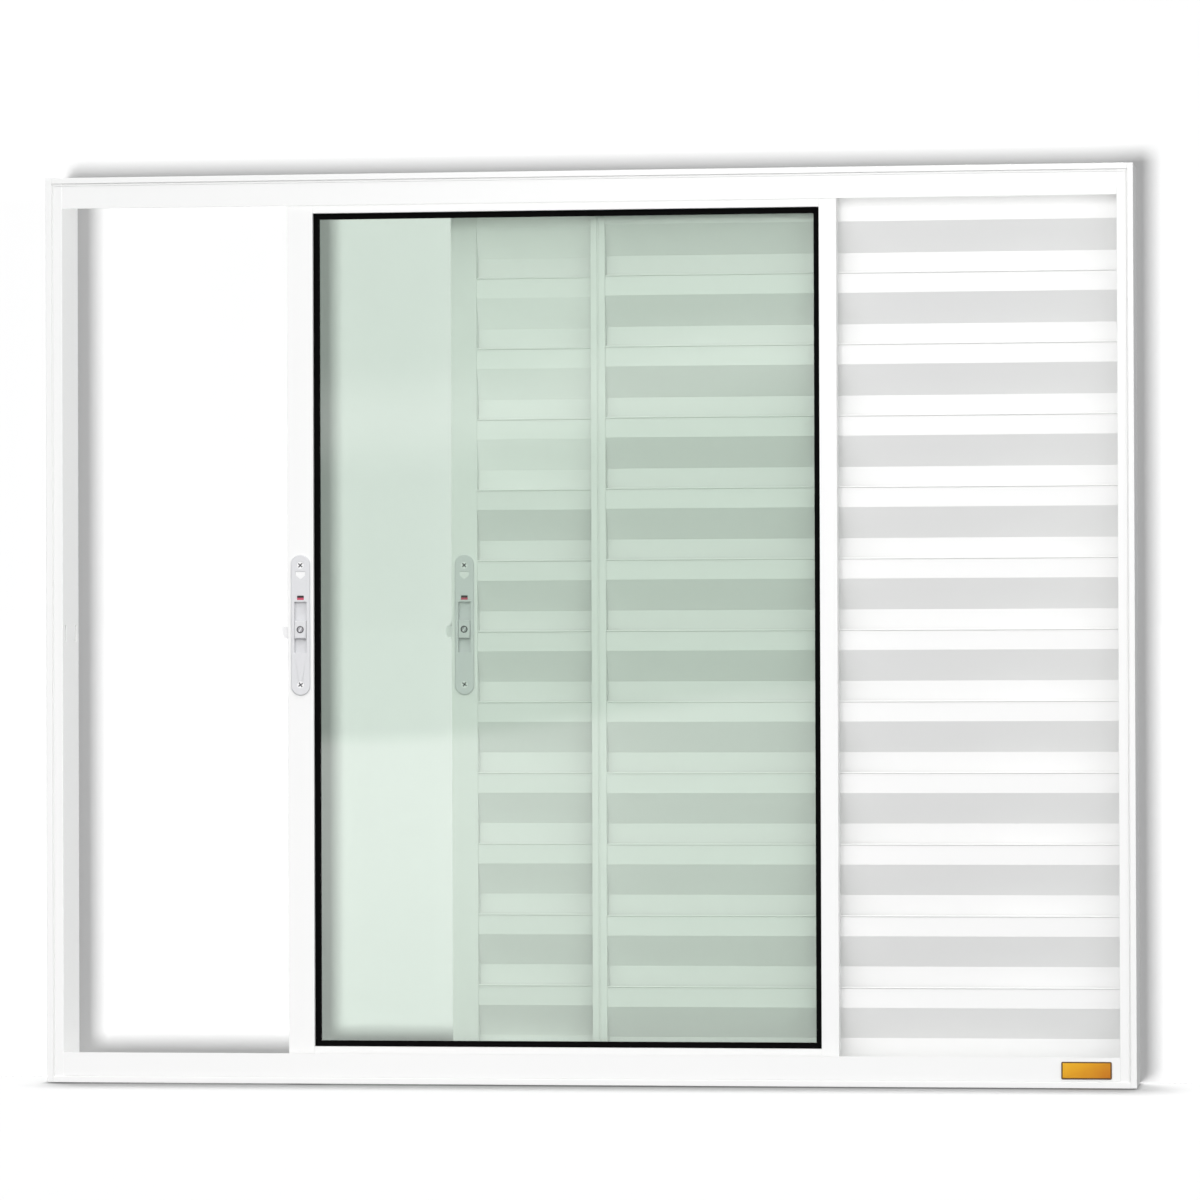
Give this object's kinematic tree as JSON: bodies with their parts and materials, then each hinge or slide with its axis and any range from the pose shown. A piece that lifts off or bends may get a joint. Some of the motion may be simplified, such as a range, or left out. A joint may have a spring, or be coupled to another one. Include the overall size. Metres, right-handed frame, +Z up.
{
  "type": "louvred sliding window",
  "caption": "White aluminium sliding window with a glass leaf, a sliding louvred leaf and a fixed louvre in a three track frame, with thumb slide locks.",
  "frame": {"origin": "middle of the sill's underside, halfway through the frame's depth", "axes": "+X along the window to the right seen from the room, +Y from the room to the outside, +Z up"},
  "size_m": [1.2, 0.08, 1],
  "materials": {
    "white_aluminium": "white powder coat, semi gloss",
    "clear_glass": "clear, slightly green",
    "black_rubber": "matt black",
    "lock_grey": "pale grey satin",
    "roller_nylon": "dark moulded nylon"
  },
  "bodies": {
    "root": {"sill": "white_aluminium", "head": "white_aluminium", "jamb_left": "white_aluminium", "jamb_right": "white_aluminium", "mullion": "white_aluminium", "fixed_slat_01": "white_aluminium", "fixed_slat_02": "white_aluminium", "fixed_slat_03": "white_aluminium", "fixed_slat_04": "white_aluminium", "fixed_slat_05": "white_aluminium", "fixed_slat_06": "white_aluminium", "fixed_slat_07": "white_aluminium", "fixed_slat_08": "white_aluminium", "fixed_slat_09": "white_aluminium", "fixed_slat_10": "white_aluminium", "fixed_slat_11": "white_aluminium", "fixed_slat_12": "white_aluminium", "sliding_slat_01": "white_aluminium", "sliding_slat_02": "white_aluminium", "sliding_slat_03": "white_aluminium", "sliding_slat_04": "white_aluminium", "sliding_slat_05": "white_aluminium", "sliding_slat_06": "white_aluminium", "sliding_slat_07": "white_aluminium", "sliding_slat_08": "white_aluminium", "sliding_slat_09": "white_aluminium", "sliding_slat_10": "white_aluminium", "sliding_slat_11": "white_aluminium", "sliding_slat_12": "white_aluminium", "glass_leaf_lock_stile": "white_aluminium", "glass_leaf_rear_stile": "white_aluminium", "glass_leaf_top_rail": "white_aluminium", "glass_leaf_bottom_rail": "white_aluminium", "louvre_leaf_lock_stile": "white_aluminium", "louvre_leaf_rear_stile": "white_aluminium", "louvre_leaf_top_rail": "white_aluminium", "louvre_leaf_bottom_rail": "white_aluminium", "glass_pane": "clear_glass", "glazing_rubber": "black_rubber", "glass_leaf_lock_case": "lock_grey", "glass_leaf_lock_slider": "lock_grey", "glass_leaf_lock_hook": "lock_grey", "louvre_leaf_lock_case": "lock_grey", "louvre_leaf_lock_slider": "lock_grey", "louvre_leaf_lock_hook": "lock_grey", "glass_leaf_roller_wheels": "roller_nylon", "glass_leaf_roller_blocks": "roller_nylon", "louvre_leaf_roller_wheels": "roller_nylon", "louvre_leaf_roller_blocks": "roller_nylon"}
  },
  "joints": []
}
